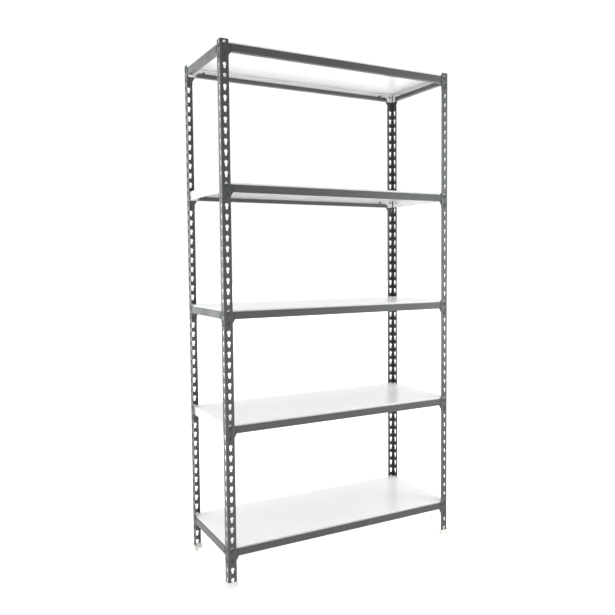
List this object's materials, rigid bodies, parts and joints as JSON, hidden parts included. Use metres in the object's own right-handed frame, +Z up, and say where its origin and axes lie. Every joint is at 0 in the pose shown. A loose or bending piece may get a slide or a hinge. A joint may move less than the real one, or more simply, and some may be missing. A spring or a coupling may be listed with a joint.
{
  "type": "boltless steel shelving",
  "caption": "Boltless steel shelving: keyholed angle posts, rivet-hung channel beams, lift-out white sheet-steel shelves and moulded foot caps.",
  "frame": {"origin": "centre of the rectangle over the posts' outer faces, at the floor", "axes": "+X to the right along the shelves' length, +Y from the front to the back, +Z up"},
  "size_m": [1.0248, 0.4152, 1.9842],
  "materials": {
    "post_paint": "powder coat, dark grey, satin",
    "beam_paint": "powder coat, dark grey, satin",
    "panel_paint": "powder coat, white, gloss",
    "rivet_steel": "blackened, satin",
    "cap_plastic": "natural moulded plastic, slightly translucent"
  },
  "bodies": {
    "rack": {"post_front_left": "post_paint", "foot_cap_front_left": "cap_plastic", "post_front_right": "post_paint", "foot_cap_front_right": "cap_plastic", "post_rear_left": "post_paint", "foot_cap_rear_left": "cap_plastic", "post_rear_right": "post_paint", "foot_cap_rear_right": "cap_plastic", "long_beam_front_1": "beam_paint", "end_plates_front_1": "beam_paint", "long_beam_rear_1": "beam_paint", "end_plates_rear_1": "beam_paint", "rivets_long_1": "rivet_steel", "side_beam_left_1": "beam_paint", "end_plates_left_1": "beam_paint", "side_beam_right_1": "beam_paint", "end_plates_right_1": "beam_paint", "rivets_side_1": "rivet_steel", "long_beam_front_2": "beam_paint", "end_plates_front_2": "beam_paint", "long_beam_rear_2": "beam_paint", "end_plates_rear_2": "beam_paint", "rivets_long_2": "rivet_steel", "long_beam_front_3": "beam_paint", "end_plates_front_3": "beam_paint", "long_beam_rear_3": "beam_paint", "end_plates_rear_3": "beam_paint", "rivets_long_3": "rivet_steel", "side_beam_left_3": "beam_paint", "end_plates_left_3": "beam_paint", "side_beam_right_3": "beam_paint", "end_plates_right_3": "beam_paint", "rivets_side_3": "rivet_steel", "long_beam_front_4": "beam_paint", "end_plates_front_4": "beam_paint", "long_beam_rear_4": "beam_paint", "end_plates_rear_4": "beam_paint", "rivets_long_4": "rivet_steel", "long_beam_front_5": "beam_paint", "end_plates_front_5": "beam_paint", "long_beam_rear_5": "beam_paint", "end_plates_rear_5": "beam_paint", "rivets_long_5": "rivet_steel", "side_beam_left_5": "beam_paint", "end_plates_left_5": "beam_paint", "side_beam_right_5": "beam_paint", "end_plates_right_5": "beam_paint", "rivets_side_5": "rivet_steel"},
    "shelf_1": {"shelf_panel_1": "panel_paint"},
    "shelf_2": {"shelf_panel_2": "panel_paint"},
    "shelf_3": {"shelf_panel_3": "panel_paint"},
    "shelf_4": {"shelf_panel_4": "panel_paint"},
    "shelf_5": {"shelf_panel_5": "panel_paint"}
  },
  "joints": [
    {"name": "lift_shelf_1", "type": "slide", "parent": "rack", "child": "shelf_1", "axis": [0, 0, 1], "range_m": [0, 0.3]},
    {"name": "lift_shelf_2", "type": "slide", "parent": "rack", "child": "shelf_2", "axis": [0, 0, 1], "range_m": [0, 0.3]},
    {"name": "lift_shelf_3", "type": "slide", "parent": "rack", "child": "shelf_3", "axis": [0, 0, 1], "range_m": [0, 0.3]},
    {"name": "lift_shelf_4", "type": "slide", "parent": "rack", "child": "shelf_4", "axis": [0, 0, 1], "range_m": [0, 0.3]},
    {"name": "lift_shelf_5", "type": "slide", "parent": "rack", "child": "shelf_5", "axis": [0, 0, 1], "range_m": [0, 0.12]}
  ]
}
